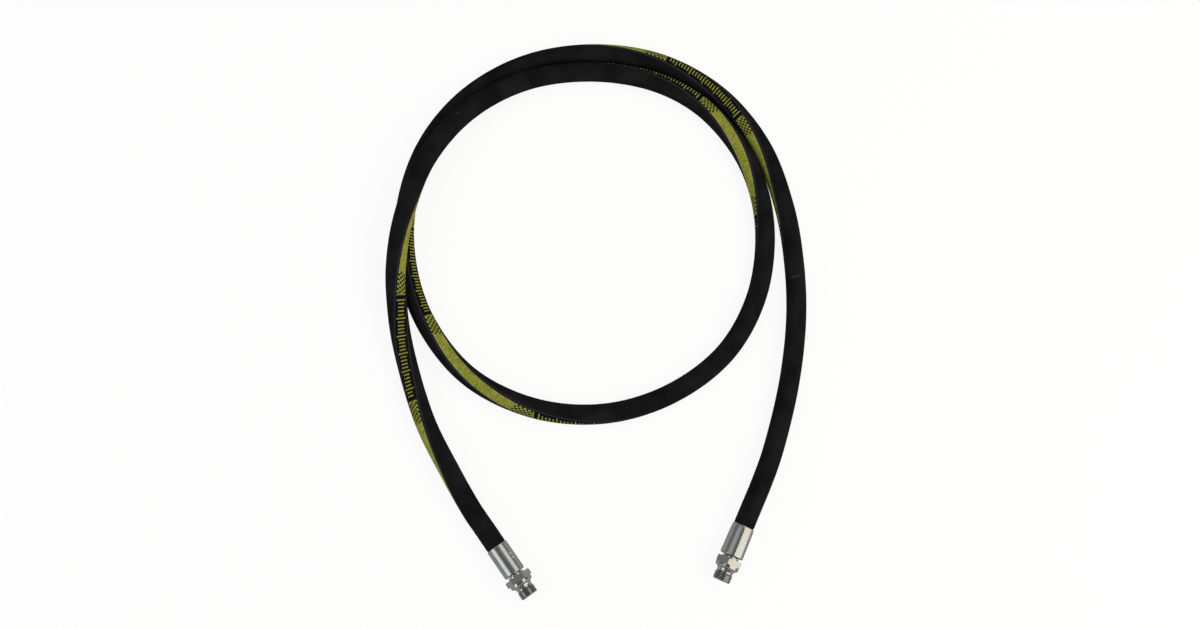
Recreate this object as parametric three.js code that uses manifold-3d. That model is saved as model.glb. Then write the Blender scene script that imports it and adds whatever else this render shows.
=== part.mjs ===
// Hydraulic hose assembly: one length of two-braid wire hose lying in a loop, with a crimped
// ferrule and a one-piece threaded insert at each end. Millimetres, +Z up; the origin is on
// the surface that it lies on, under the middle of its box.
import * as THREE from "three";
import { mergeVertices } from "three/addons/utils/BufferGeometryUtils.js";
import Module from "manifold-3d";

const wasm = await Module();
wasm.setup();

// Driving dimensions of the hose, 3/8 inch bore with two wire braids
const HOSE_BORE = 9.5;
const TUBE_WALL = 1.55;
const INNER_BRAID_WALL = 0.6;
const INSULATION_WALL = 0.3;
const OUTER_BRAID_WALL = 0.6;
const COVER_WALL = 0.95;
const LAYER_CLEARANCE = 0.2;

// Driving dimensions of the fittings, 3/8 inch parallel pipe thread with a 22 mm hexagon
const FERRULE_LENGTH = 30;
const FERRULE_OD = 21.4;
const HEX_ACROSS_FLATS = 22;
const HEX_LENGTH = 5.6;
const COLLAR_OD = 21.7;
const COLLAR_LENGTH = 3.8;
const THREAD_MAJOR = 16.66;
const THREAD_PITCH = 1.337;
const THREAD_LENGTH = 7.6;
const UNDERCUT_LENGTH = 4.2;
const INSERT_BORE = 7;
const SEAT_DIAMETER = 12.4;

// Shared clearances and resolution
const CONTACT_GAP = 0.3; // left between pieces that touch
const OVERRUN = 2; // how far a cutting shape runs past what it cuts
const WELD_DISTANCE = 1e-4; // corners nearer than this are one corner
const ROUND_SIDES = 16;
const RING_ANGLE = 12; // degrees round the loop's middle from one ring of the hose to the next
const TUBE_SIDES = 8; // sides of the hidden layers' surfaces
const COVER_SIDES = 12; // sides of the surfaces that show or carry a ferrule

// Radii of the hose's layers, from the bore outwards
const tubeInner = HOSE_BORE / 2;
const tubeOuter = tubeInner + TUBE_WALL;
const innerBraidInner = tubeOuter + LAYER_CLEARANCE;
const innerBraidOuter = innerBraidInner + INNER_BRAID_WALL;
const insulationInner = innerBraidOuter + LAYER_CLEARANCE;
const insulationOuter = insulationInner + INSULATION_WALL;
const outerBraidInner = insulationOuter + LAYER_CLEARANCE;
const outerBraidOuter = outerBraidInner + OUTER_BRAID_WALL;
const coverInner = outerBraidOuter + LAYER_CLEARANCE;
const hoseRadius = coverInner + COVER_WALL;

// The hose's middle line, chosen by hand: x, y and how far it is lifted off the floor.
// It runs from the mouth of ferrule A once round the loop, climbs on to its own first turn
// at the upper left, crosses it and comes down to the mouth of ferrule B.
const liftA = HEX_ACROSS_FLATS / Math.sqrt(3) - hoseRadius; // A rests on a corner of its hexagon
const liftB = HEX_ACROSS_FLATS / 2 - hoseRadius; // B rests on a flat of its hexagon
const route = [
  [134.5, -205.5, liftA],
  [151, -168.9, liftA],
  [163, -139, 1.6],
  [181.5, -72, 0.3],
  [190.5, -8, 0],
  [190, 48, 0],
  [182.5, 102, 0],
  [162, 163, 0],
  [122.3, 215.3, 0],
  [64.8, 250.2, 0],
  [-2, 261.3, 0],
  [-69.8, 250.1, 0],
  [-127.6, 215.9, 0],
  [-166.6, 166, 0],
  [-185.5, 105, 0],
  [-184.3, 46, 0],
  [-164.3, -13, 0],
  [-121, -66.5, 0],
  [-58, -97, 0],
  [9, -101.7, 0],
  [70.8, -82.6, 0],
  [122, -44, 0],
  [152.3, 8.5, 0],
  [163.0, 66, 0],
  [158.2, 117.2, 0],
  [139.7, 162.5, 0],
  [103.7, 205.3, 0],
  [56.9, 231.2, 0.3],
  [-6, 241, 1.4],
  [-71.4, 228.9, 7.2],
  [-126.6, 194.7, 13.1],
  [-165.2, 143.8, 17.9],
  [-184.6, 84, 20.4],
  [-190.2, 36, 19.4],
  [-189, 0, 12.6],
  [-183.4, -38, 4.6],
  [-161.3, -108, 0.4],
  [-135.4, -157, 0.6],
  [-114.7, -191.4, liftB],
  [-91.4, -223.9, liftB],
];
const loopMiddle = new THREE.Vector2(-10, 80);

// Lengths along a fitting's axis, measured from the ferrule's mouth towards the thread
const lipLength = 2.7;
const lipStart = FERRULE_LENGTH - lipLength;
const shoulderLength = 1.2;
const shoulderEnd = lipStart - CONTACT_GAP;
const shoulderStart = shoulderEnd - shoulderLength;
const hoseStop = shoulderStart - CONTACT_GAP; // how deep the hose is pushed in
const neckStart = FERRULE_LENGTH + CONTACT_GAP;
const neckLength = 1.8;
const hexStart = neckStart + neckLength;
const collarStart = hexStart + HEX_LENGTH;
const undercutStart = collarStart + COLLAR_LENGTH;
const threadStart = undercutStart + UNDERCUT_LENGTH;
const fittingEnd = threadStart + THREAD_LENGTH;

// A solid made from a geometry whose shared corners are merged
function solidOf(geometry) {
  geometry.deleteAttribute("normal");
  geometry.deleteAttribute("uv");
  const merged = mergeVertices(geometry, WELD_DISTANCE);
  return new wasm.Manifold(
    new wasm.Mesh({
      numProp: 3,
      vertProperties: merged.attributes.position.array,
      triVerts: new Uint32Array(merged.index.array),
    }),
  );
}

// A mesh made from a solid
function meshOf(name, solid, material) {
  const { numProp, vertProperties, triVerts } = solid.getMesh();
  const places = new Float32Array((vertProperties.length / numProp) * 3);
  for (let i = 0; i * numProp < vertProperties.length; i += 1) {
    places.set(vertProperties.subarray(i * numProp, i * numProp + 3), i * 3);
  }
  const geometry = new THREE.BufferGeometry();
  geometry.setAttribute("position", new THREE.BufferAttribute(places, 3));
  geometry.setIndex(new THREE.BufferAttribute(triVerts, 1));
  geometry.computeVertexNormals();
  const mesh = new THREE.Mesh(geometry, material);
  mesh.name = name;
  return mesh;
}

// A solid turned about Z from an outline of [radius, height] points, from low to high
function turned(outline) {
  const points = outline.map(([radius, height]) => new THREE.Vector2(radius, height));
  return solidOf(new THREE.LatheGeometry(points, ROUND_SIDES).rotateX(Math.PI / 2));
}

const zincPlate = new THREE.MeshStandardMaterial({
  color: 0xb4b2aa,
  metalness: 1,
  roughness: 0.34,
});
const steelWire = new THREE.MeshStandardMaterial({
  color: 0x8d8a80,
  metalness: 1,
  roughness: 0.5,
});
const coverRubber = new THREE.MeshStandardMaterial({
  color: 0x17181b,
  metalness: 0,
  roughness: 0.72,
});
const tubeRubber = new THREE.MeshStandardMaterial({
  color: 0x101010,
  metalness: 0,
  roughness: 0.55,
});

// The hose's route as a smooth curve between the two mouths, straight for a while at each end
function middleLine() {
  const points = route.map(([x, y, lift]) => new THREE.Vector3(x, y, hoseRadius + lift));
  const last = points.length - 1;
  const straightA = points[0].clone().lerp(points[1], 0.5);
  const straightB = points[last].clone().lerp(points[last - 1], 0.5);
  points.splice(last, 0, straightB);
  points.splice(1, 0, straightA);
  return new THREE.CatmullRomCurve3(points, false, "centripetal");
}

// Rings of the hose along the curve, each with its tangent, so that every layer shares them.
// They stand where rays from the loop's middle cut the curve, so that turns which lie against
// each other bend at the same places.
function ringsAlong(curve) {
  const samples = 4000;
  const ringAt = (u) => ({ place: curve.getPointAt(u), tangent: curve.getTangentAt(u) });
  const rings = [ringAt(0)];
  let lastRay = null;
  for (let i = 0; i < samples; i += 1) {
    const ring = ringAt(i / samples);
    const bearing = Math.atan2(ring.place.y - loopMiddle.y, ring.place.x - loopMiddle.x);
    const ray = Math.floor(THREE.MathUtils.radToDeg(bearing) / RING_ANGLE);
    const fromStart = ring.place.distanceTo(rings[0].place);
    const fromEnd = ring.place.distanceTo(curve.getPointAt(1));
    const clear = Math.min(fromStart, fromEnd) > 2 * hoseRadius;
    if (lastRay !== null && ray !== lastRay && clear) rings.push(ring);
    lastRay = ray;
  }
  rings.push(ringAt(1));
  return rings;
}

// A ring moved straight on by a distance
function ringBeyond(ring, distance) {
  return {
    place: ring.place.clone().addScaledVector(ring.tangent, distance),
    tangent: ring.tangent,
  };
}

// A path through given rings, which keeps one side of the section level with the floor
class RingPath extends THREE.Curve {
  constructor(rings) {
    super();
    this.rings = rings;
  }

  ringAt(u) {
    return this.rings[Math.round(u * (this.rings.length - 1))];
  }

  getPointAt(u) {
    return this.ringAt(u).place.clone();
  }

  getTangentAt(u) {
    return this.ringAt(u).tangent.clone();
  }

  computeFrenetFrames() {
    const tangents = this.rings.map((ring) => ring.tangent.clone());
    const normals = tangents.map((tangent) =>
      new THREE.Vector3(0, 0, 1).addScaledVector(tangent, -tangent.z).normalize(),
    );
    const binormals = tangents.map((tangent, i) => tangent.clone().cross(normals[i]));
    return { tangents, normals, binormals };
  }
}

// A regular outline whose flats lie on the circle of the radius, with flats up and down
function flatOutline(radius, sides) {
  const corner = radius / Math.cos(Math.PI / sides);
  return Array.from({ length: sides }, (_, i) => {
    const angle = ((i + 0.5) * 2 * Math.PI) / sides;
    return new THREE.Vector2(corner * Math.cos(angle), corner * Math.sin(angle));
  });
}

// One layer of the hose: a tube between two radii along the rings
function layer(name, inner, outer, rings, material) {
  const section = new THREE.Shape(flatOutline(outer.radius, outer.sides));
  section.holes.push(new THREE.Path(flatOutline(inner.radius, inner.sides).reverse()));
  const geometry = new THREE.ExtrudeGeometry(section, {
    steps: rings.length - 1,
    extrudePath: new RingPath(rings),
  });
  const mesh = new THREE.Mesh(geometry, material);
  mesh.name = name;
  return mesh;
}

// The five layers of the hose. The cover stops at the ferrules' mouths, where it is skived
// off, and the layers under it run in to the inserts' shoulders.
function hose(curve) {
  const rings = ringsAlong(curve);
  const [mouthA, ...middle] = rings;
  const mouthB = middle.pop();
  const coverRings = [ringBeyond(mouthA, CONTACT_GAP), ...middle, ringBeyond(mouthB, -CONTACT_GAP)];
  const coreRings = [
    ringBeyond(mouthA, -hoseStop),
    coverRings[0],
    ...middle,
    coverRings[coverRings.length - 1],
    ringBeyond(mouthB, hoseStop),
  ];
  const hidden = (radius) => ({ radius, sides: TUBE_SIDES });
  const round = (radius) => ({ radius, sides: COVER_SIDES });
  const group = new THREE.Group();
  group.add(
    layer("hose_inner_tube", hidden(tubeInner), hidden(tubeOuter), coreRings, tubeRubber),
    layer("inner_wire_braid", hidden(innerBraidInner), hidden(innerBraidOuter), coreRings, steelWire),
    layer("insulation_layer", hidden(insulationInner), hidden(insulationOuter), coreRings, tubeRubber),
    layer("outer_wire_braid", hidden(outerBraidInner), round(outerBraidOuter), coreRings, steelWire),
    layer("hose_cover", round(coverInner), round(hoseRadius), coverRings, coverRubber),
  );
  return group;
}

// The ferrule: a shell with gripping rings inside, a lip that locks into the insert's groove,
// and eight flats outside where the crimping dies pressed it
const gripLand = outerBraidOuter / Math.cos(Math.PI / COVER_SIDES) + CONTACT_GAP;
const lockGroove = 6.1; // radius of the insert's locking groove
function ferrule(name) {
  const outer = FERRULE_OD / 2;
  const edge = 0.7;
  const lipRadius = lockGroove + CONTACT_GAP;
  const grooveDepth = 0.4;
  const grooveFlank = 0.4;
  const grooves = 4;
  const pitch = shoulderStart / (grooves + 1);
  const inside = [];
  for (let i = 1; i <= grooves; i += 1) {
    const start = (i - 0.25) * pitch;
    const end = (i + 0.25) * pitch;
    inside.push(
      [gripLand, start],
      [gripLand + grooveDepth, start + grooveFlank],
      [gripLand + grooveDepth, end - grooveFlank],
      [gripLand, end],
    );
  }
  const shell = turned([
    [gripLand, 0],
    [outer - edge, 0],
    [outer, edge],
    [outer, FERRULE_LENGTH - edge],
    [outer - edge, FERRULE_LENGTH],
    [lipRadius, FERRULE_LENGTH],
    [lipRadius, lipStart],
    [gripLand, lipStart],
    ...inside.reverse(),
    [gripLand, 0],
  ]);

  const dies = 8;
  const dieDepth = 0.45;
  const dieStart = 2.6;
  const dieEnd = FERRULE_LENGTH - dieStart;
  const rampLength = 1.4;
  const press = new THREE.Shape([
    new THREE.Vector2(dieStart, outer),
    new THREE.Vector2(dieStart + rampLength, outer - dieDepth),
    new THREE.Vector2(dieEnd - rampLength, outer - dieDepth),
    new THREE.Vector2(dieEnd, outer),
    new THREE.Vector2(dieEnd, outer + OVERRUN),
    new THREE.Vector2(dieStart, outer + OVERRUN),
  ]);
  let crimped = shell;
  for (let i = 0; i < dies; i += 1) {
    const die = new THREE.ExtrudeGeometry(press, { depth: FERRULE_OD, bevelEnabled: false });
    die.translate(0, 0, -outer);
    die.rotateX(Math.PI / 2).rotateY(-Math.PI / 2);
    die.rotateZ(((i + 0.5) * 2 * Math.PI) / dies);
    crimped = crimped.subtract(solidOf(die));
  }
  return meshOf(name, crimped, zincPlate);
}

// The outside thread as an over-long screw: a helical grid of four points a pitch, closed by
// fans to the axis at both ends
const threadDepthShare = 0.64; // of the pitch, for a 55 degree pipe thread
const threadOutlineShares = [
  [0, 0],
  [0.18, 0],
  [0.5, 1],
  [0.68, 1],
];
const threadDepth = threadDepthShare * THREAD_PITCH;
const threadRoot = THREAD_MAJOR / 2 - threadDepth;
function screw(start, turns) {
  const perPitch = threadOutlineShares.length;
  const rows = turns * perPitch;
  const point = (column, row) => {
    const [rise, depth] = threadOutlineShares[row % perPitch];
    const climb = Math.floor(row / perPitch) + rise + column / ROUND_SIDES;
    const radius = threadRoot + depth * threadDepth;
    const angle = (column * 2 * Math.PI) / ROUND_SIDES;
    return [radius * Math.cos(angle), radius * Math.sin(angle), start + climb * THREAD_PITCH];
  };
  const low = [0, 0, start + THREAD_PITCH / 2];
  const high = [0, 0, start + (turns + 0.5) * THREAD_PITCH];
  const corners = [];
  for (let column = 0; column < ROUND_SIDES; column += 1) {
    for (let row = 0; row < rows; row += 1) {
      const [a, b] = [point(column, row), point(column + 1, row)];
      const [c, d] = [point(column + 1, row + 1), point(column, row + 1)];
      corners.push(a, b, c, a, c, d);
    }
    corners.push(low, point(column + 1, 0), point(column, 0));
    corners.push(high, point(column, rows), point(column + 1, rows));
  }
  for (let row = 0; row < perPitch; row += 1) {
    corners.push(low, point(0, row), point(0, row + 1));
    corners.push(high, point(0, rows + row + 1), point(0, rows + row));
  }
  const geometry = new THREE.BufferGeometry();
  geometry.setAttribute("position", new THREE.Float32BufferAttribute(corners.flat(), 3));
  return solidOf(geometry);
}

// The insert: one turned piece with a barbed tail in the hose, the groove that the ferrule
// locks into, a hexagon, a sealing collar, and a thread with a 60 degree seat in its end
function insert(name) {
  const bore = INSERT_BORE / 2;
  const seat = SEAT_DIAMETER / 2;
  const seatDepth = (seat - bore) * Math.sqrt(3);
  const tailStart = 1.5;
  const barbHeight = 0.35;
  const barbs = 4;
  const barbCrest = tubeInner - CONTACT_GAP;
  const barbRoot = barbCrest - barbHeight;
  const barbRampShare = 0.8;
  const barbPitch = (shoulderStart - tailStart) / (barbs + 1);
  const neckRadius = 7.8;
  const collarChamfer = 1.3;
  const undercutRelief = 0.12;
  const undercut = threadRoot - undercutRelief;
  const threadMiddle = threadStart + THREAD_LENGTH / 2;
  const tail = [];
  for (let i = 0; i < barbs; i += 1) {
    const start = tailStart + i * barbPitch;
    tail.push([barbRoot, start], [barbCrest, start + barbRampShare * barbPitch]);
  }
  const body = turned([
    [0, tailStart],
    ...tail,
    [barbRoot, tailStart + barbs * barbPitch],
    [barbCrest, shoulderStart],
    [outerBraidOuter, shoulderStart],
    [outerBraidOuter, shoulderEnd],
    [lockGroove, shoulderEnd],
    [lockGroove, neckStart],
    [neckRadius, neckStart],
    [neckRadius, (hexStart + collarStart) / 2],
    [COLLAR_OD / 2, (hexStart + collarStart) / 2],
    [COLLAR_OD / 2, undercutStart - collarChamfer],
    [COLLAR_OD / 2 - collarChamfer, undercutStart],
    [undercut, undercutStart],
    [undercut, threadMiddle],
    [0, threadMiddle],
  ]);

  const hexCorner = HEX_ACROSS_FLATS / Math.sqrt(3);
  const hexChamfer = (hexCorner - HEX_ACROSS_FLATS / 2) * Math.tan(Math.PI / 6);
  const prism = new THREE.CylinderGeometry(hexCorner, hexCorner, HEX_LENGTH, 6);
  prism.rotateX(Math.PI / 2).translate(0, 0, (hexStart + collarStart) / 2);
  const hexagon = solidOf(prism).intersect(
    turned([
      [0, hexStart - OVERRUN],
      [HEX_ACROSS_FLATS / 2, hexStart - OVERRUN],
      [HEX_ACROSS_FLATS / 2, hexStart],
      [hexCorner, hexStart + hexChamfer],
      [hexCorner + OVERRUN, hexStart + hexChamfer],
      [hexCorner + OVERRUN, collarStart - hexChamfer],
      [hexCorner, collarStart - hexChamfer],
      [HEX_ACROSS_FLATS / 2, collarStart],
      [HEX_ACROSS_FLATS / 2, collarStart + OVERRUN],
      [0, collarStart + OVERRUN],
    ]),
  );

  const crest = THREAD_MAJOR / 2;
  const turns = Math.ceil(THREAD_LENGTH / THREAD_PITCH) + 2;
  const thread = screw(threadStart - 1.5 * THREAD_PITCH, turns).intersect(
    turned([
      [0, threadStart],
      [undercut, threadStart],
      [crest + threadDepth, threadStart + crest + threadDepth - undercut],
      [crest + threadDepth, fittingEnd - 2 * threadDepth - undercutRelief],
      [threadRoot - undercutRelief, fittingEnd],
      [0, fittingEnd],
    ]),
  );

  const passage = turned([
    [0, tailStart - OVERRUN],
    [bore, tailStart - OVERRUN],
    [bore, fittingEnd - seatDepth],
    [seat, fittingEnd],
    [seat, fittingEnd + OVERRUN],
    [0, fittingEnd + OVERRUN],
  ]);
  return meshOf(name, body.add(hexagon).add(thread).subtract(passage), zincPlate);
}

// A ferrule and its insert at a mouth of the hose, with a corner or a flat of the hexagon down,
// give or take the few degrees that the insert was turned by when it was crimped in
function fitting(letter, mouth, axis, cornerDown, insertTurn) {
  const up = new THREE.Vector3(0, 0, 1);
  const across = cornerDown ? up.clone().cross(axis) : axis.clone().cross(up);
  const turn = new THREE.Matrix4();
  if (cornerDown) turn.makeBasis(across, up, axis);
  else turn.makeBasis(up, across, axis);
  const group = new THREE.Group();
  group.position.copy(mouth);
  group.quaternion.setFromRotationMatrix(turn);
  const stud = insert(`insert_${letter}`);
  stud.rotation.z = THREE.MathUtils.degToRad(insertTurn);
  group.add(ferrule(`ferrule_${letter}`), stud);
  return group;
}

// The least gap between the hose and itself, where its turns pass each other
function leastGap(curve) {
  const samples = 800;
  const apart = 5 * 2 * hoseRadius;
  const step = curve.getLength() / samples;
  const places = curve.getSpacedPoints(samples);
  let least = Infinity;
  for (let i = 0; i <= samples; i += 1) {
    for (let j = i + Math.ceil(apart / step); j <= samples; j += 1) {
      least = Math.min(least, places[i].distanceTo(places[j]));
    }
  }
  return least - 2 * hoseRadius;
}

const curve = middleLine();
curve.arcLengthDivisions = 2000;
const [startA, startB] = [curve.getPointAt(0), curve.getPointAt(1)];
const axisA = curve.getTangentAt(0).negate();
const axisB = curve.getTangentAt(1);
console.log(`hose ${curve.getLength().toFixed(0)} mm between the ferrules`);
console.log(`least gap of the hose to itself ${leastGap(curve).toFixed(2)} mm`);

const assembly = new THREE.Group();
assembly.add(
  hose(curve),
  fitting("a", startA, axisA, true, 8.5),
  fitting("b", startB, axisB, false, 0),
);

export default assembly;
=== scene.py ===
import bisect
import math

import bpy
from mathutils import Matrix, Vector


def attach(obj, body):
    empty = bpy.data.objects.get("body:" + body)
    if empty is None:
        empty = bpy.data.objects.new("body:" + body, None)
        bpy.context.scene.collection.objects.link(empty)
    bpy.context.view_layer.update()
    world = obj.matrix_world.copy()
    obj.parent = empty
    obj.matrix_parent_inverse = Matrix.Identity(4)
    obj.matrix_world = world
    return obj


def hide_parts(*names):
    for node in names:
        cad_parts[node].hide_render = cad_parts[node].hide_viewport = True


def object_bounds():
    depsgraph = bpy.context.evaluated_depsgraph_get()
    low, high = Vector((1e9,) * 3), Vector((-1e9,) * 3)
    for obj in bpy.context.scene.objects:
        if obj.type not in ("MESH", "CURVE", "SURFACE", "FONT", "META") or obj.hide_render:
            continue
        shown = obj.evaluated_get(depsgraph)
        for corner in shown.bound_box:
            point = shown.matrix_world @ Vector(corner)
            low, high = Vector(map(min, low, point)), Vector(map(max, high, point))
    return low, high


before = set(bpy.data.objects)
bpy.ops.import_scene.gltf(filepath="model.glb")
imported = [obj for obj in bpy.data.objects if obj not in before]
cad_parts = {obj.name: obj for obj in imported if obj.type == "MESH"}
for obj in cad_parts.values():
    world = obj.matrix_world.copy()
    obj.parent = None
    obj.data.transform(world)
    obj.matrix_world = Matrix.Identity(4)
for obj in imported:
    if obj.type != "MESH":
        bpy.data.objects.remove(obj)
cad_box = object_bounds()

# Camera: it hangs over the near edge of the loop and looks down and slightly forward.
CAMERA_TILT = 12
camera_lens = bpy.data.cameras.new("camera")
camera_lens.lens = 33
camera_lens.sensor_width = 36
camera = bpy.data.objects.new("camera", camera_lens)
camera.location = (0.003, -0.225, 1.038)
camera.rotation_euler = (math.radians(CAMERA_TILT), 0, 0)
bpy.context.scene.collection.objects.link(camera)
bpy.context.scene.camera = camera

# Hose cover: the black synthetic rubber skin of a two-wire hose, 19.1 mm across. It is cured
# under a wrapped cloth tape, whose weave stays in it, and a yellow band is printed on a film
# strip along it. It is skived off at both ends, where the ferrules begin.
MM = 0.001
COVER_RADIUS = 9.55
COVER_BORE = 8.6
HEX_ACROSS_FLATS = 22.0
lift_a = HEX_ACROSS_FLATS / math.sqrt(3) - COVER_RADIUS  # fitting A lies on a corner of its hexagon
lift_b = HEX_ACROSS_FLATS / 2 - COVER_RADIUS  # fitting B lies on a flat of its hexagon
# The middle line from ferrule A to ferrule B, in mm: x, y and how far the hose is off the floor
hose_route = [
    (134.5, -205.5, lift_a), (151, -168.9, lift_a), (163, -139, 1.6), (181.5, -72, 0.3),
    (190.5, -8, 0), (190, 48, 0), (182.5, 102, 0), (162, 163, 0),
    (122.3, 215.3, 0), (64.8, 250.2, 0), (-2, 261.3, 0), (-69.8, 250.1, 0),
    (-127.6, 215.9, 0), (-166.6, 166, 0), (-185.5, 105, 0), (-184.3, 46, 0),
    (-164.3, -13, 0), (-121, -66.5, 0), (-58, -97, 0), (9, -101.7, 0),
    (70.8, -82.6, 0), (122, -44, 0), (152.3, 8.5, 0), (163.0, 66, 0),
    (158.2, 117.2, 0), (139.7, 162.5, 0), (103.7, 205.3, 0), (56.9, 231.2, 0.3),
    (-6, 241, 1.4), (-71.4, 228.9, 7.2), (-126.6, 194.7, 13.1), (-165.2, 143.8, 17.9),
    (-184.6, 84, 20.4), (-190.2, 36, 19.4), (-189, 0, 12.6), (-183.4, -38, 4.6),
    (-161.3, -108, 0.4), (-135.4, -157, 0.6), (-114.7, -191.4, lift_b), (-91.4, -223.9, lift_b),
]
STEPS_PER_SPAN = 40


def bend_through(points):
    """A centripetal curve through points, run straight on at both ends, as many short steps."""
    points = [2 * points[0] - points[1], *points, 2 * points[-1] - points[-2]]
    line = []
    for before, start, end, after in zip(points, points[1:], points[2:], points[3:]):
        lead, span, trail = (
            math.sqrt((b - a).length) for a, b in ((before, start), (start, end), (end, after))
        )
        chord = (end - start) / span
        leaving = ((start - before) / lead - (end - before) / (lead + span) + chord) * span
        arriving = (chord - (after - start) / (span + trail) + (after - end) / trail) * span
        for step in range(STEPS_PER_SPAN):
            t = step / STEPS_PER_SPAN
            line.append(
                (2 * t**3 - 3 * t**2 + 1) * start
                + (t**3 - 2 * t**2 + t) * leaving
                + (3 * t**2 - 2 * t**3) * end
                + (t**3 - t**2) * arriving
            )
    return line + [points[-2]]


route_points = [Vector((x, y, COVER_RADIUS + lift)) for x, y, lift in hose_route]
route_points.insert(1, (route_points[0] + route_points[1]) / 2)
route_points.insert(-1, (route_points[-1] + route_points[-2]) / 2)
middle_line = bend_through(route_points)
travelled = [0.0]
for a, b in zip(middle_line, middle_line[1:]):
    travelled.append(travelled[-1] + (b - a).length)
HOSE_LENGTH = travelled[-1]
mouth_a, mouth_b = middle_line[0], middle_line[-1]
axis_a = (middle_line[0] - middle_line[1]).normalized()
axis_b = (middle_line[-1] - middle_line[-2]).normalized()


def hose_at(distance):
    """The middle line's point and direction at a distance from ferrule A's mouth, in mm."""
    if distance <= 0:
        return mouth_a + axis_a * -distance, -axis_a
    if distance >= HOSE_LENGTH:
        return mouth_b + axis_b * (distance - HOSE_LENGTH), axis_b
    i = min(max(bisect.bisect(travelled, distance), 2), len(travelled) - 2)
    share = (distance - travelled[i - 1]) / (travelled[i] - travelled[i - 1])
    point = middle_line[i - 1].lerp(middle_line[i], share)
    before = middle_line[i] - middle_line[i - 2]
    after = middle_line[i + 1] - middle_line[i - 1]
    return point, before.normalized().lerp(after.normalized(), share).normalized()


def between(table, x):
    """The value of a table of (x, value) rows at x, on straight lines between the rows."""
    i = min(max(bisect.bisect([row[0] for row in table], x), 1), len(table) - 1)
    (x0, y0), (x1, y1) = table[i - 1], table[i]
    return y0 + (y1 - y0) * min(max((x - x0) / (x1 - x0), 0), 1)


# How far round the hose the band's middle has turned, in degrees from the top towards the
# inside of the loop, by distance along the hose
band_turn = [
    (0, 190), (180, 140), (321, 88), (345, 79), (442, 10), (556, -57), (900, -306), (955, -312),
    (972, -319), (1044, -361), (1104, -411), (1146, -440), (1455, -638), (1509, -685),
    (1557, -726), (1605, -758), (1930, -952), (1952, -983), (2018, -1024), (2054, -1052),
    (2102, -1088), (2144, -1110), (2174, -1127), (2216, -1162), (2295, -1210),
]
# Where along its own repeat the print stands, by distance along the hose, both in mm
print_place = [
    (-400, -797), (397, 0), (512, 115), (968, 579), (1090, 696), (1452, 1043), (1567, 1160),
    (2016.5, 1624), (2139.5, 1739), (2939.5, 2539),
]
PRINT_BLUR = 15


def band_angle(distance):
    rows = [between(band_turn, distance + PRINT_BLUR * k / 2) for k in (-2, -1, 0, 1, 2)]
    return math.radians(sum(rows) / len(rows))


# Where the skived end tucks under the ferrule's lip: distance out of the mouth, and radius
TUCK = 1.2
skived_end = [(-TUCK, 8.95), (0, 9.12), (0.6, 9.32), (1.5, 9.45), (3, COVER_RADIUS)]
# The cover's rings stand close at each mouth, and at even steps from there on
COVER_SIDES = 32
FIRST_EVEN_RING, RING_STEP = 6, 4.0
mouth_rings = [-TUCK, -0.5, 0, 0.3, 0.6, 1, 1.5, 2.2, 3]
even_length = HOSE_LENGTH - 2 * FIRST_EVEN_RING
even_steps = round(even_length / RING_STEP)
even_rings = [FIRST_EVEN_RING + even_length * i / even_steps for i in range(even_steps + 1)]
ring_places = mouth_rings + even_rings + [HOSE_LENGTH - place for place in reversed(mouth_rings)]


def add_piece(name, points, faces, map_name=None, corners=None):
    """A piece made of points in mm and faces, with a smooth skin and a map in mm, if it has one."""
    mesh = bpy.data.meshes.new(name)
    mesh.from_pydata([point * MM for point in points], [], faces)
    if map_name:
        layer = mesh.uv_layers.new(name=map_name)
        for corner, (across, along) in zip(layer.data, corners):
            corner.uv = (across * MM, along * MM)
    mesh.shade_smooth()
    mesh.set_sharp_from_angle(angle=math.radians(32))
    piece = bpy.data.objects.new(name, mesh)
    bpy.context.scene.collection.objects.link(piece)
    return piece


def sleeve(name, places, outer, inner, sides, turn, repeat):
    """A hose layer: outer rings, inner rings at every second place, and a flat rim at each end.

    outer gives a radius for a distance, turn the angle that the map's middle is turned by, and
    repeat the place along the map."""
    points, faces, corners = [], [], []
    outer_radius = outer(HOSE_LENGTH / 2)

    def ring(distance, radius):
        point, way = hose_at(distance)
        up = (Vector((0, 0, 1)) - way * way.z).normalized()
        left = up.cross(way)
        start = turn(distance) + math.pi
        for column in range(sides):
            angle = start + 2 * math.pi * column / sides
            points.append(point + radius * (math.cos(angle) * up + math.sin(angle) * left))

    inner_places = places[:-1:2] + [places[-1]]
    for distance in places:
        ring(distance, outer(distance))
    for distance in inner_places:
        ring(distance, inner)

    def strip(first, second, along_first, along_second, radius):
        for column in range(sides):
            following = (column + 1) % sides
            faces.append((first + column, second + column, second + following, first + following))
            near, far = (
                radius * math.pi * (2 * share / sides - 1) for share in (column, column + 1)
            )
            corners.extend(
                [(near, along_first), (near, along_second), (far, along_second), (far, along_first)]
            )

    for i, (here, there) in enumerate(zip(places, places[1:])):
        strip(i * sides, (i + 1) * sides, repeat(here), repeat(there), outer_radius)
    inside = len(places) * sides
    for i, (here, there) in enumerate(zip(inner_places, inner_places[1:])):
        first, second = inside + i * sides, inside + (i + 1) * sides
        strip(second, first, repeat(there), repeat(here), inner)
    last_inside = inside + (len(inner_places) - 1) * sides
    strip(inside, 0, repeat(places[0]), repeat(places[0]), inner)
    end = repeat(places[-1])
    strip((len(places) - 1) * sides, last_inside, end, end, inner)
    return add_piece(name, points, faces, "hose_map", corners)


def cover_radius(distance):
    return between(skived_end, min(distance, HOSE_LENGTH - distance))


hose_cover = sleeve(
    "hose_cover_skin",
    ring_places,
    cover_radius,
    COVER_BORE,
    COVER_SIDES,
    band_angle,
    lambda distance: between(print_place, distance),
)


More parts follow.
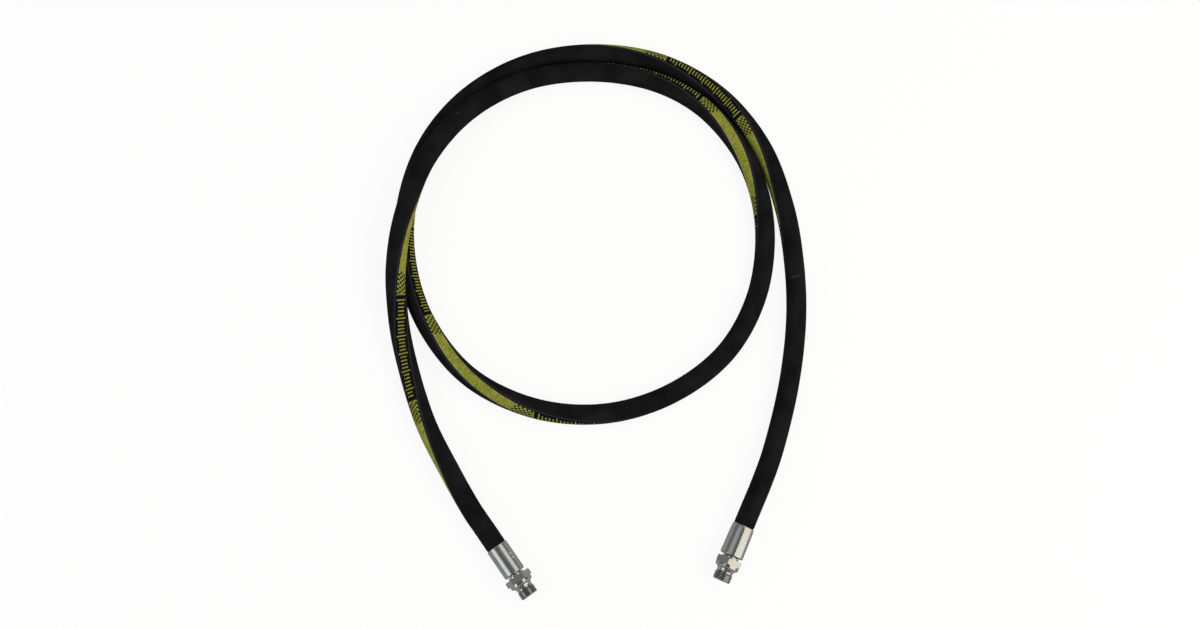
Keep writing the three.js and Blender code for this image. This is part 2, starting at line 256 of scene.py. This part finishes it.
class Wire:
    """A socket of a material's nodes, on which sums are written as on a number."""

    def __init__(self, tree, socket=None):
        self.tree, self.socket = tree, socket

    def node(self, kind, settings=None, values=None, out=0):
        """A new node: its settings are made first, and then its sockets are set or linked."""
        made = self.tree.nodes.new("ShaderNode" + kind)
        for setting, value in (settings or {}).items():
            if setting == "stops":
                for place, colour in value[1:-1]:
                    made.color_ramp.elements.new(place)
                for stop, (place, colour) in zip(made.color_ramp.elements, value):
                    stop.position, stop.color = place, (*colour, 1)
            else:
                setattr(made, setting, value)
        for socket, value in (values or {}).items():
            put(self.tree, made.inputs[socket], value)
        return Wire(self.tree, made.outputs[out])

    def output(self, name):
        return Wire(self.tree, self.socket.node.outputs[name])

    def maths(self, operation, *values):
        return self.node("Math", {"operation": operation}, dict(enumerate(values)))

    def __add__(self, other):
        return self.maths("ADD", self, other)

    __radd__ = __add__

    def __sub__(self, other):
        return self.maths("SUBTRACT", self, other)

    def __rsub__(self, other):
        return self.maths("SUBTRACT", other, self)

    def __mul__(self, other):
        return self.maths("MULTIPLY", self, other)

    __rmul__ = __mul__

    def __truediv__(self, other):
        return self.maths("DIVIDE", self, other)

    def above(self, edge, blur):
        """0 below an edge and 1 above it, with a soft step as wide as the blur."""
        limits = {"Value": self, "From Min": edge - blur / 2, "From Max": edge + blur / 2}
        return self.node("MapRange", {"interpolation_type": "SMOOTHSTEP"}, limits)

    def within(self, low, high, blur):
        return self.above(low, blur) * (1 - self.above(high, blur))

    def tint(self, without, full):
        """A colour that goes from one to another as this value goes from 0 to 1."""
        return self.node("Mix", {"data_type": "RGBA"}, {0: self, 6: without, 7: full}, out=2)

    def noise(self, place, scale, detail=2.0):
        return self.node("TexNoise", {}, {"Vector": place, "Scale": scale, "Detail": detail})


def put(tree, socket, value):
    """Links a wire to a socket, or sets the socket to a number or colour."""
    if isinstance(value, Wire):
        tree.links.new(value.socket, socket)
    elif isinstance(value, tuple) and len(value) == 3 and socket.type == "RGBA":
        socket.default_value = (*value, 1)
    else:
        socket.default_value = value


def new_material(name):
    material = bpy.data.materials.new(name)
    material.use_nodes = True
    return material, Wire(material.node_tree)


def coat(material, sockets):
    """Sets or links sockets of a material's surface."""
    surface = material.node_tree.nodes["Principled BSDF"]
    for name, value in sockets.items():
        put(material.node_tree, surface.inputs[name], value)


RUBBER_BLACK = (0.0058, 0.0058, 0.0063)
RUBBER_GREY = (0.0104, 0.0104, 0.0113)
RUBBED_GREY = (0.030, 0.030, 0.031)
FILM_BLACK = (0.0050, 0.0050, 0.0060)
FILM_EDGE_SHEEN = (0.028, 0.027, 0.037)
PRINT_YELLOW = (0.275, 0.275, 0.024)
PRINT_PALE = (0.31, 0.325, 0.09)
# The print along one repeat: a checker block, a bar, ticks, a bar, a checker block, the stripe
PRINT_REPEAT = 232
BLOCK_START, STRIPE_START = 0.1, 136
FIRST_BAR, SECOND_BAR = (18.6, 19.6), (115, 116.1)
TICKS_START, TICKS_MIDDLE, TICKS_END = 22.8, 66, 111.5
FIRST_TICK, TICK_STEP = 22.5, 3.2
TICK_SIDES = (1, 2.2)  # within its step
SHORT_TICK, LONGER_BY = 3, 1.5
CHECK_LENGTH, CHECK_WIDTH = 2.1, 1.95
CHECK_SLANT = 0.4
INK_EDGE = 0.2
BAND_HALF = 4.9
FILM_HALF = 6.5
WEAVE_PITCH = 0.85
LAP_STEP = 46.0

cover_rubber, wire = new_material("cover_rubber")
here = wire.node("UVMap", {"uv_map": "hose_map"})
split = wire.node("SeparateXYZ", {}, {0: here})
across, along = split / MM, split.output("Y") / MM
solid_place = wire.node("TexCoord").output("Object")
in_repeat = wire.maths("FLOORED_MODULO", along, PRINT_REPEAT)
slanted = wire.maths("FLOORED_MODULO", along - across * CHECK_SLANT, PRINT_REPEAT)
off_middle = wire.maths("ABSOLUTE", across)
band = 1 - off_middle.above(BAND_HALF, 0.3)
check_column = wire.maths("SINE", slanted * (math.pi / CHECK_LENGTH))
check_row = wire.maths("COSINE", across * (math.pi / CHECK_WIDTH))
checks = (check_column * check_row).above(-0.04, 0.2)
between_blocks = in_repeat.within(FIRST_BAR[0], SECOND_BAR[1], INK_EDGE)
first_block = slanted.within(BLOCK_START, TICKS_MIDDLE, INK_EDGE) * (1 - between_blocks)
second_block = slanted.within(TICKS_MIDDLE, STRIPE_START, INK_EDGE)
second_block = second_block * in_repeat.above(SECOND_BAR[1], INK_EDGE)
closing_bars = in_repeat.within(*FIRST_BAR, INK_EDGE) + in_repeat.within(*SECOND_BAR, INK_EDGE)
stripe = slanted.above(STRIPE_START, INK_EDGE)
tick_place = wire.maths("FLOORED_MODULO", in_repeat - FIRST_TICK, TICK_STEP)
fifth_place = wire.maths("FLOORED_MODULO", in_repeat - FIRST_TICK, 5 * TICK_STEP)
tick_height = SHORT_TICK + LONGER_BY * (1 - fifth_place.above(TICK_STEP, 0.2))
ticks = tick_place.within(*TICK_SIDES, 0.25) * (1 - (off_middle - tick_height).above(0, 0.3))
ticks = ticks * in_repeat.within(TICKS_START, TICKS_END, 0.3)
ink = band * ((first_block + second_block) * checks + closing_bars + stripe) + ticks

weave_across = wire.maths("SINE", across * (2 * math.pi / WEAVE_PITCH))
weave_along = wire.maths("SINE", along * (2 * math.pi / WEAVE_PITCH))
weave = weave_across * weave_along
lap_place = wire.maths("FLOORED_MODULO", along + across * 0.8, LAP_STEP)
lap = lap_place.within(0.2, 1.3, 0.8)
wear = wire.noise(solid_place, 260.0, 3.0)
yarn = wire.noise(wire.node("Mapping", {}, {"Vector": here, "Scale": (170.0, 900.0, 1.0)}), 1.0)
printed = ink * (0.80 + 0.2 * weave) * (0.72 + 0.42 * yarn.above(0.5, 0.4))
ink_colour = (yarn.above(0.55, 0.3) + 0.7 * off_middle.above(BAND_HALF - 0.8, 0.6)).tint(
    PRINT_YELLOW, PRINT_PALE
)
film = 1 - off_middle.above(FILM_HALF, 0.8)
# The film's edges: a lighter bluish line, partly the film's own lip and partly painted sheen.
film_edge_sheen = off_middle.within(FILM_HALF - 0.7, FILM_HALF + 0.6, 1.0)
mottle = wire.noise(solid_place, 45.0, 4.0)


def rub_mark(distance, turn, half_length, half_width):
    """Where a light rub mark lies: a soft, slightly slanted smear across the hose's side."""
    point, way = hose_at(distance)
    up = (Vector((0, 0, 1)) - way * way.z).normalized()
    side = math.cos(turn) * up + math.sin(turn) * up.cross(way)
    middle = tuple((point + COVER_RADIUS * side) * MM)
    from_middle = wire.node(
        "VectorMath", {"operation": "SUBTRACT"}, {0: solid_place, 1: middle}
    )

    def reach(direction):
        values = {0: from_middle, 1: tuple(direction)}
        return wire.node("VectorMath", {"operation": "DOT_PRODUCT"}, values, out="Value") / MM

    round_it = reach(side.cross(way)) / half_length
    ahead = (reach(way) + 0.8 * round_it) / half_width
    patch = 1 - (round_it * round_it + ahead * ahead).above(0.6, 0.8)
    return patch * reach(side).above(-4, 2)


rub_marks = rub_mark(243, math.radians(10), 5.5, 1.6) + rub_mark(1845, math.radians(-10), 2.2, 1.3)
rub_marks = rub_marks * (0.4 + 0.6 * wear.above(0.5, 0.4))
rubber_colour = mottle.above(0.5, 0.35).tint(RUBBER_BLACK, RUBBER_GREY)
rubber_colour = rub_marks.tint(rubber_colour, RUBBED_GREY)
skin_colour = film.tint(rubber_colour, FILM_BLACK)
# Painted sheen: the film's edges are tinted lighter and bluish, partly for its lip.
skin_colour = (film_edge_sheen * (0.4 + 0.6 * wear)).tint(skin_colour, FILM_EDGE_SHEEN)
relief = weave * (0.5 - 0.3 * film) + lap * 0.6 + 2.2 * mottle + film * 0.3
coat(
    cover_rubber,
    {
        "Base Color": printed.tint(skin_colour, ink_colour),
        "Roughness": 0.88 - 0.2 * film + 0.1 * mottle - 0.12 * lap,
        "Specular IOR Level": 0.015,
        "Normal": wire.node("Bump", {}, {"Strength": 0.6, "Distance": 0.00008, "Height": relief}),
    },
)
hose_cover.data.materials.append(cover_rubber)
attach(hose_cover, "root")
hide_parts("hose_cover")

# Hose core under the cover, from the outside in: a braid of brassed steel wire, a thin rubber
# insulation, a second braid, and the oil-resistant rubber tube. All four run on into the
# ferrules, as far as the inserts' shoulders.
HOSE_STOP = 25.2
CORE_SIDES = 16
core_rings = even_rings[::2] + even_rings[-1:]
core_places = [-HOSE_STOP, -HOSE_STOP / 2] + core_rings
core_places += [HOSE_LENGTH + HOSE_STOP / 2, HOSE_LENGTH + HOSE_STOP]


def core_layer(name, outer, inner, node, material):
    piece = sleeve(
        name, core_places, lambda d: outer, inner, CORE_SIDES, lambda d: 0.0, lambda d: d
    )
    piece.data.materials.append(material)
    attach(piece, "root")
    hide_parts(node)
    return piece


BRAID_PITCH = 2.6
STRAND = 0.3
braid_wire, wire = new_material("braid_wire")
split = wire.node("SeparateXYZ", {}, {0: wire.node("UVMap", {"uv_map": "hose_map"})})
across, along = split / MM, split.output("Y") / MM
one_way = (across + along * 0.7) / BRAID_PITCH
other_way = (across - along * 0.7) / BRAID_PITCH
over = (
    wire.maths("SINE", one_way * math.pi) * wire.maths("SINE", other_way * math.pi)
).above(0, 0.2)
strands = over * wire.maths("SINE", one_way * (2 * math.pi * BRAID_PITCH / STRAND))
strands = strands + (1 - over) * wire.maths(
    "SINE", other_way * (2 * math.pi * BRAID_PITCH / STRAND)
)
tarnish = wire.noise(wire.node("TexCoord").output("Object"), 120.0)
coat(
    braid_wire,
    {
        "Base Color": tarnish.tint((0.40, 0.36, 0.27), (0.33, 0.32, 0.30)),
        "Metallic": 1.0,
        "Roughness": 0.34 + 0.2 * tarnish,
        "Normal": wire.node(
            "Bump", {}, {"Strength": 0.7, "Distance": 0.0001, "Height": strands + over * 0.6}
        ),
    },
)
tube_rubber, wire = new_material("tube_rubber")
bloom = wire.noise(wire.node("TexCoord").output("Object"), 90.0, 4.0)
coat(
    tube_rubber,
    {
        "Base Color": bloom.tint((0.008, 0.008, 0.008), (0.013, 0.013, 0.013)),
        "Roughness": 0.45 + 0.25 * bloom,
        "Normal": wire.node("Bump", {}, {"Strength": 0.3, "Distance": 0.00005, "Height": bloom}),
    },
)
core_layer("outer_braid_wires", 8.4, 7.8, "outer_wire_braid", braid_wire)
core_layer("insulation_rubber", 7.6, 7.3, "insulation_layer", tube_rubber)
core_layer("inner_braid_wires", 7.1, 6.5, "inner_wire_braid", braid_wire)
core_layer("inner_tube_rubber", 6.3, 4.75, "hose_inner_tube", tube_rubber)

# Inserts: each is turned from one bar of steel and zinc plated, with a barbed tail inside the
# hose, a groove that the ferrule locks into, a 22 mm hexagon, a chamfered sealing collar, a
# waist, and a 3/8 inch parallel pipe thread with a 60 degree seat in its end.
SEAT_RADIUS, BORE_RADIUS = 6.2, 3.5
TAIL_END, BORE_END = 1.5, 2.5  # where the tail begins, and the bore's last ring
BARBS, BARB_LENGTH = 4, 4.8
BARB_ROOT, BARB_CREST = 4.1, 4.45
SHOULDER_START, GROOVE_START, GROOVE_END = 25.5, 27.0, 30.3
SHOULDER_RADIUS, GROOVE_RADIUS, NECK_RADIUS = 8.4, 6.1, 7.8
HEX_START, COLLAR_START, COLLAR_CHAMFER, WAIST_START = 32.1, 37.7, 40.3, 41.5
HEX_BLANK = 12.0  # the radius that marks the rings from which the hexagon is milled
HEX_FACE_RINGS = (9.6, 10.7)  # radii on its end face
HEX_CHAMFER, HEX_WORN_CORNER = 11.8, 12.62
COLLAR_RADIUS, WAIST_RADIUS = 10.85, 7.4
THREAD_START, THREAD_END = 45.7, 53.3
THREAD_CREST, THREAD_PITCH = 8.33, 1.337
THREAD_DEPTH = 0.64 * THREAD_PITCH
THREAD_ROOT = THREAD_CREST - THREAD_DEPTH
THREAD_RINGS, LEAD_IN = 16, 0.2  # rings in one turn, and how far before it they begin
LONGEST_STRETCH = 2.4


def eased(outline):
    """(station, radius, ease) corners as points, with each corner rounded by its ease.

    The first and last corners only say where the outline comes from and where it goes."""
    points = []
    for (*before, _), (*middle, ease), (*after, _) in zip(outline, outline[1:], outline[2:]):
        corner = Vector(middle)
        if not ease:
            points.append(corner)
            continue
        back, ahead = Vector(before) - corner, Vector(after) - corner
        reach = min(ease, back.length / 2, ahead.length / 2)
        start, end = corner + back.normalized() * reach, corner + ahead.normalized() * reach
        for step in range(5):
            t = step / 4
            points.append((1 - t) ** 2 * start + 2 * t * (1 - t) * corner + t**2 * end)
    return points


def divided(points, step):
    """The same open outline with no stretch longer than a step."""
    rows = points[:1]
    for a, b in zip(points, points[1:]):
        parts = max(1, math.ceil((b - a).length / step))
        rows += [a.lerp(b, i / parts) for i in range(1, parts + 1)]
    return rows


def fitting_place(mouth, axis, corner_down, insert_turn):
    """The turn and place of a fitting: its own Z runs along it, away from the hose."""
    up = Vector((0, 0, 1))
    if corner_down:
        sides = up.cross(axis), up, axis
    else:
        sides = up, axis.cross(up), axis
    return Matrix(sides).transposed() @ Matrix.Rotation(math.radians(insert_turn), 3, "Z"), mouth


places = {
    "a": fitting_place(mouth_a, axis_a, True, 8.5),
    "b": fitting_place(mouth_b, axis_b, False, 0),
}


def run_along(rows):
    """How far along a closed outline each row lies, in mm."""
    run = [0.0]
    for a, b in zip(rows, rows[1:] + rows[:1]):
        run.append(run[-1] + (b - a).length)
    return run


MAP_RADIUS = 10  # of every turned piece's map, whatever its own radius


def turned(name, rows, sides, shaped, place):
    """A turned piece from a closed outline of (station, radius) rows.

    shaped gives the radius really cut at a row and an angle round the piece."""
    turn, mouth = place
    points, faces, corners = [], [], []
    run = run_along(rows)
    for row in rows:
        for column in range(sides):
            angle = 2 * math.pi * column / sides
            radius = shaped(row, angle)
            local = Vector((radius * math.cos(angle), radius * math.sin(angle), row.x))
            points.append(mouth + turn @ local)
    for i in range(len(rows)):
        following = (i + 1) % len(rows)
        for column in range(sides):
            beside = (column + 1) % sides
            faces.append(
                (
                    i * sides + column,
                    i * sides + beside,
                    following * sides + beside,
                    following * sides + column,
                )
            )
            near, far = (
                2 * math.pi * MAP_RADIUS * share / sides for share in (column, column + 1)
            )
            low, high = run[i], run[i + 1]
            corners.extend([(near, low), (far, low), (far, high), (near, high)])
    return add_piece(name, points, faces, "turning_map", corners)


def soft_min(a, b, blend):
    share = max(blend - abs(a - b), 0) / blend
    return min(a, b) - share * share * blend / 4


def hexagon(angle):
    """Radius of the hexagon at an angle, with its corners worn very slightly round."""
    off_flat = (math.degrees(angle) + 30) % 60 - 30
    flat = HEX_ACROSS_FLATS / 2 / math.cos(math.radians(off_flat))
    return soft_min(flat, HEX_WORN_CORNER, 0.2)


tail = []
for i in range(BARBS):
    start = TAIL_END + i * BARB_LENGTH
    tail += [(start, BARB_ROOT, 0), (start + 0.8 * BARB_LENGTH, BARB_CREST, 0.1)]
insert_outline = divided(
    eased(
        [(BORE_END, BORE_RADIUS, 0), (TAIL_END, BORE_RADIUS, 0.2)]
        + tail
        + [
            (TAIL_END + BARBS * BARB_LENGTH, BARB_ROOT, 0),
            (SHOULDER_START, BARB_CREST, 0),
            (SHOULDER_START, SHOULDER_RADIUS, 0.15),
            (GROOVE_START, SHOULDER_RADIUS, 0.15),
            (GROOVE_START, GROOVE_RADIUS, 0),
            (GROOVE_END, GROOVE_RADIUS, 0),
            (GROOVE_END, NECK_RADIUS, 0.3),
            (HEX_START, NECK_RADIUS, 0.2),
            (HEX_START, HEX_FACE_RINGS[0], 0),
        ]
    ),
    LONGEST_STRETCH,
)
hex_middle = (COLLAR_START - HEX_START) / 2
edge_rings = (0, 0.15, 0.3, 0.45, 0.6, 1.8)
hex_rows = [Vector((HEX_START, radius)) for radius in HEX_FACE_RINGS]
hex_rows += [Vector((HEX_START + rise, HEX_BLANK)) for rise in (*edge_rings, hex_middle)]
hex_rows += [Vector((COLLAR_START - rise, HEX_BLANK)) for rise in reversed(edge_rings)]
collar_rows = eased(
    [
        (COLLAR_START, HEX_BLANK, 0),
        (COLLAR_START, COLLAR_RADIUS, 0),
        (COLLAR_CHAMFER, COLLAR_RADIUS, 0.3),
        (WAIST_START, 9.6, 0.3),
        (WAIST_START, 9.0, 0.2),
        (42.0, 8.4, 0.3),
        (43.1, 7.85, 0),
        (44.0, WAIST_RADIUS, 0.5),
        (44.9, WAIST_RADIUS, 0),
    ]
)
thread_rings = int((THREAD_END - THREAD_START + LEAD_IN) / THREAD_PITCH * THREAD_RINGS) + 1
turns_rows = [
    Vector((THREAD_START - LEAD_IN + i * THREAD_PITCH / THREAD_RINGS, THREAD_CREST))
    for i in range(thread_rings)
]
seat_rows = divided(
    eased(
        [
            (THREAD_END, THREAD_CREST, 0),
            (THREAD_END, 7.25, 0),
            (THREAD_END, SEAT_RADIUS, 0.15),
            (THREAD_END - (SEAT_RADIUS - BORE_RADIUS) * math.sqrt(3), BORE_RADIUS, 0.3),
            (BORE_END, BORE_RADIUS, 0),
            (TAIL_END, BORE_RADIUS, 0),
        ]
    ),
    2.5 * LONGEST_STRETCH,
)
insert_rows = insert_outline + hex_rows + collar_rows + turns_rows + seat_rows
run = run_along(insert_rows)
first_hex = len(insert_outline) + len(HEX_FACE_RINGS)
last_hex = len(insert_outline) + len(hex_rows) - 1
first_turn = last_hex + 1 + len(collar_rows)
HEX_RUN = run[first_hex], run[last_hex]
THREAD_RUN = run[first_turn], run[first_turn + len(turns_rows)]


def thread_radius(station, angle):
    """Radius of the right-handed thread: rounded ridges that start and end in chamfers."""
    phase = ((station - THREAD_START) / THREAD_PITCH - angle / (2 * math.pi)) % 1
    flank = min(max((abs(phase - 0.5) - 0.21) / 0.24, 0), 1)
    rounded = flank * flank * (3 - 2 * flank)
    radius = THREAD_CREST - THREAD_DEPTH * (0.35 * rounded + 0.65 * flank)
    run_in = 7.6 + 0.75 * (station - THREAD_START)
    tip = 7.35 + 1.1 * (THREAD_END - station)
    return min(radius, run_in, tip)


def insert_radius(row, angle):
    if row.x > THREAD_START - 2 * LEAD_IN and row.y > THREAD_ROOT:
        return thread_radius(row.x, angle)
    if row.y == HEX_BLANK:
        from_edge = min(row.x - HEX_START, COLLAR_START - row.x)
        return soft_min(hexagon(angle), HEX_CHAMFER + from_edge * math.sqrt(3), 0.12)
    return row.y


ZINC_WARM = (0.245, 0.235, 0.21)
ZINC_COOL = (0.21, 0.23, 0.235)
ZINC_BRIGHT = (0.26, 0.26, 0.25)
ZINC_THREAD_SHADE = (0.17, 0.172, 0.155)
PUNCH_GLINT_WHITE = (0.8, 0.8, 0.8)


def zinc_plating(name, roughness, ring_marks, long_marks, milled=None, cut=None, punched=()):
    """Zinc plate on steel, with marks round it and along it, in given strengths.

    milled and cut say where along the outline the speckled hexagon and the thread lie; the
    thread is darkened with painted shade. punched lists the middles of small punch dimples,
    each with a painted white glint."""
    material, wire = new_material(name)
    here = wire.node("UVMap", {"uv_map": "turning_map"})
    along = wire.node("SeparateXYZ", {}, {0: here}).output("Y") / MM
    solid_place = wire.node("TexCoord").output("Object")

    def streaks(round_it, along_it):
        values = {"Vector": here, "Scale": (round_it, along_it, 1.0)}
        return wire.noise(wire.node("Mapping", {}, values), 1.0, 3.0)

    rings, lines = streaks(60.0, 4200.0), streaks(1500.0, 60.0)
    clouds = wire.noise(solid_place, 110.0, 3.0)
    grains = wire.noise(solid_place, 1300.0, 2.0)
    colour = clouds.above(0.5, 0.25).tint(ZINC_COOL, ZINC_WARM)
    colour = lines.above(0.55, 0.3).tint(colour, ZINC_BRIGHT)
    roughness = roughness + 0.1 * (clouds - 0.5) + 0.2 * (lines - 0.5) * long_marks
    relief = rings * ring_marks + lines * long_marks + grains * 0.4
    if milled:
        flats, threads = along.within(*milled, 0.2), along.within(*cut, 0.2)
        polished = along.within(milled[1], cut[0], 0.2)
        colour = (flats * grains.above(0.5, 0.2)).tint(colour, ZINC_BRIGHT)
        # Painted shade: the thread is tinted darker, with speckles, for the shade in its grooves.
        colour = (threads * (0.1 + 0.5 * grains)).tint(colour, ZINC_THREAD_SHADE)
        roughness = roughness + 0.08 * flats + 0.04 * threads - 0.1 * polished
        relief = relief + flats * grains * 0.8
    metallic = 1.0
    for middle in punched:
        values = {0: solid_place, 1: tuple(middle * MM)}
        away = wire.node("VectorMath", {"operation": "DISTANCE"}, values, out="Value") / MM
        # Painted glint: each punch dimple is painted bright white and less metallic; its bump is
        # the real dimple.
        dimple_and_glint = 1 - away.above(0.65, 0.5)
        colour = dimple_and_glint.tint(colour, PUNCH_GLINT_WHITE)
        metallic = metallic - 0.85 * dimple_and_glint
        relief = relief - 14 * dimple_and_glint
    coat(
        material,
        {
            "Base Color": colour,
            "Metallic": metallic,
            "Roughness": roughness,
            "Specular Tint": (0.5, 0.5, 0.5),
            "Normal": wire.node(
                "Bump", {}, {"Strength": 0.4, "Distance": 0.00003, "Height": relief}
            ),
        },
    )
    return material


turned_zinc = zinc_plating("zinc_on_turned_bar", 0.24, 0.7, 0.2, HEX_RUN, THREAD_RUN)
INSERT_SIDES = 96
for letter, place in places.items():
    piece = turned(f"insert_{letter}_turned", insert_rows, INSERT_SIDES, insert_radius, place)
    piece.data.materials.append(turned_zinc)
    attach(piece, "root")
    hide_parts(f"insert_{letter}")

# Ferrules: zinc plated steel sleeves, slipped over the hose ends and squeezed on to the wire
# braid by eight crimping dies, which leave eight long, slightly rounded flats. Their lips lock
# into the inserts' grooves, and small punch dimples mark the side of each.
FERRULE_END, FERRULE_RADIUS = 29.5, 10.7
DIE_ANGLE = 45
FLAT_RADIUS = 10.45
FLATNESS = 0.5  # 1 would be a plane face, and 0 a round one
GRIP_RADIUS = 8.996
FERRULE_SIDES = 128
GRIP_RINGS, GRIP_PITCH, GRIP_DEPTH = 4, 5.1, 0.4
LIP_START, LIP_RADIUS = 27.3, 6.4
MOUTH_RADIUS = 9.3
gripping_rings = []
for i in range(GRIP_RINGS, 0, -1):
    start, end = (i - 0.25) * GRIP_PITCH, (i + 0.25) * GRIP_PITCH
    gripping_rings += [
        (end, GRIP_RADIUS, 0),
        (end - GRIP_DEPTH, GRIP_RADIUS + GRIP_DEPTH, 0),
        (start + GRIP_DEPTH, GRIP_RADIUS + GRIP_DEPTH, 0),
        (start, GRIP_RADIUS, 0),
    ]
ferrule_outline = [
    (0, MOUTH_RADIUS, 0.2),
    (0, FERRULE_RADIUS, 0.6),
    (FERRULE_END - 0.7, FERRULE_RADIUS, 0.5),
    (FERRULE_END, 9.8, 0.3),
    (FERRULE_END, LIP_RADIUS, 0.2),
    (LIP_START, LIP_RADIUS, 0.2),
    (LIP_START, GRIP_RADIUS, 0),
    *gripping_rings,
    (1.6, GRIP_RADIUS, 0),
]
ferrule_points = eased(ferrule_outline[-1:] + ferrule_outline + ferrule_outline[:1])
ferrule_rows = divided(ferrule_points + ferrule_points[:1], 0.7)[:-1]
# How much wider than nominal each ferrule came out of the dies, by station, both in mm
squeeze = {
    "a": [(0, -0.6), (3, -0.25), (8, -0.05), (18, 0.12), (28, 0.24)],
    "b": [(0, -0.35), (30, -0.35)],
}
# How far the dies were turned round each ferrule's top, in degrees, towards the picture's right
die_turn = {"a": 5, "b": -7.4}
# Punch dimples on each ferrule: station and degrees from its top towards the picture's right
dimples = {"a": [(14.4, 36)], "b": [(12.4, 47), (16.6, 47)]}


def crimped_radius(turn, wider):
    """Radius of a ferrule at a row and an angle, squeezed to eight flats."""

    def radius_at(row, angle):
        outer = min(max((row.y - 9.4) / 0.6, 0), 1)
        off_flat = (math.degrees(angle) - turn) % DIE_ANGLE - DIE_ANGLE / 2
        flat = FLAT_RADIUS / math.cos(math.radians(off_flat * FLATNESS))
        pressed = soft_min(flat, FERRULE_RADIUS, 0.05) + between(wider, row.x)
        return row.y - outer * (FERRULE_RADIUS - pressed)

    return radius_at


ferrules = {}
punched = []
for letter, (turn, mouth) in places.items():
    axis, up = turn.col[2], Vector((0, 0, 1))
    right = axis.cross(up) if axis.cross(up).x > 0 else up.cross(axis)
    for station, degrees in dimples[letter]:
        side = math.cos(math.radians(degrees)) * up + math.sin(math.radians(degrees)) * right
        depth = FLAT_RADIUS + between(squeeze[letter], station)
        punched.append(mouth + station * axis + depth * side)
    # The angle of the dies, counted as the piece's own columns are
    to_top = math.degrees(math.atan2(up @ turn.col[1], up @ turn.col[0]))
    hand = 1 if turn.col[2].dot(up.cross(right)) > 0 else -1
    piece = turned(
        f"ferrule_{letter}_crimped",
        ferrule_rows,
        FERRULE_SIDES,
        crimped_radius(to_top + hand * die_turn[letter], squeeze[letter]),
        (turn, mouth),
    )
    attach(piece, "root")
    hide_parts(f"ferrule_{letter}")
    ferrules[letter] = piece
pressed_zinc = zinc_plating("zinc_on_pressed_tube", 0.25, 0.15, 0.8, punched=punched)
for piece in ferrules.values():
    piece.data.materials.append(pressed_zinc)

# Ferrule A's mouth and the hose's middle line at its rings, in metres, worked out and not used.
tuple(mouth_a * MM)
[tuple(hose_at(place)[0] * MM) for place in ring_places]

# Floor: a plain white table, which looks white to the camera and in the metal, and keeps a
# little of the hose's shadow.
FLOOR_HALF = 6.0
floor_mesh = bpy.data.meshes.new("floor")
floor_mesh.from_pydata(
    [(x * FLOOR_HALF, y * FLOOR_HALF, 0) for x, y in ((-1, -1), (1, -1), (1, 1), (-1, 1))],
    [],
    [(0, 1, 2, 3)],
)
floor = bpy.data.objects.new("floor", floor_mesh)
floor.location.z = min(0.0, cad_box[0][2]) - 0.0001
bpy.context.scene.collection.objects.link(floor)
white_table, wire = new_material("white_table")
coat(white_table, {"Base Color": (0.86, 0.86, 0.86), "Roughness": 0.9, "Specular IOR Level": 0.0})
seen = wire.node("LightPath")
seen = seen.output("Is Camera Ray") + seen.output("Is Glossy Ray")
seen = seen + wire.node("LightPath", out="Is Transmission Ray")
lit = Wire(wire.tree, white_table.node_tree.nodes["Principled BSDF"].outputs[0])
white = wire.node("Emission", {}, {"Color": (1.0, 1.0, 1.0), "Strength": 1.0})
table_look = wire.node("MixShader", {}, {0: 0.9 * seen, 1: lit, 2: white})
put(wire.tree, white_table.node_tree.nodes["Material Output"].inputs["Surface"], table_look)
floor_mesh.materials.append(white_table)

# Light: a dim grey room with four soft boxes: two cool ones at the left, in front and behind,
# a large warm one at the right and a small one behind it.
LAMP_DISTANCE = 1.6


def soft_box(name, towards, from_top, width, height, brightness, colour):
    """A soft box in a direction on the floor, tilted from overhead, that faces the middle."""
    away = Vector((*towards, 0)).normalized() * math.sin(math.radians(from_top))
    away.z = math.cos(math.radians(from_top))
    light = bpy.data.lights.new(name, "AREA")
    light.shape = "RECTANGLE"
    light.size, light.size_y = width, height
    light.energy = brightness * math.pi * width * height
    light.color = colour
    lamp = bpy.data.objects.new(name, light)
    lamp.location = away * LAMP_DISTANCE
    lamp.rotation_euler = away.to_track_quat("Z", "Y").to_euler()
    lamp.visible_camera = False
    bpy.context.scene.collection.objects.link(lamp)


soft_box("left_box", (-0.88, -0.47), 59.5, 1.3, 0.7, 2.8, (0.94, 1.0, 0.99))
soft_box("right_box", (0.91, -0.41), 57, 1.2, 1.8, 2.8, (1.0, 0.945, 0.82))
soft_box("back_box", (0.81, 0.58), 33, 1.1, 0.8, 2.3, (1.0, 0.96, 0.89))
soft_box("far_left_box", (-0.91, 0.41), 25, 0.8, 0.9, 0.95, (0.98, 1.0, 0.97))

world = bpy.data.worlds.new("grey_room")
world.use_nodes = True
bpy.context.scene.world = world
room = Wire(world.node_tree)
height = room.node("SeparateXYZ", {}, {0: room.node("TexCoord").output("Generated")}).output("Z")
shade = room.node(
    "ValToRGB",
    {"stops": [(0.0, (0.62, 0.62, 0.62)), (0.45, (0.40, 0.40, 0.41)), (1.0, (0.27, 0.275, 0.27))]},
    {0: height},
)
background = world.node_tree.nodes["Background"]
put(world.node_tree, background.inputs["Color"], shade)

bpy.context.scene.view_settings.view_transform = "Standard"
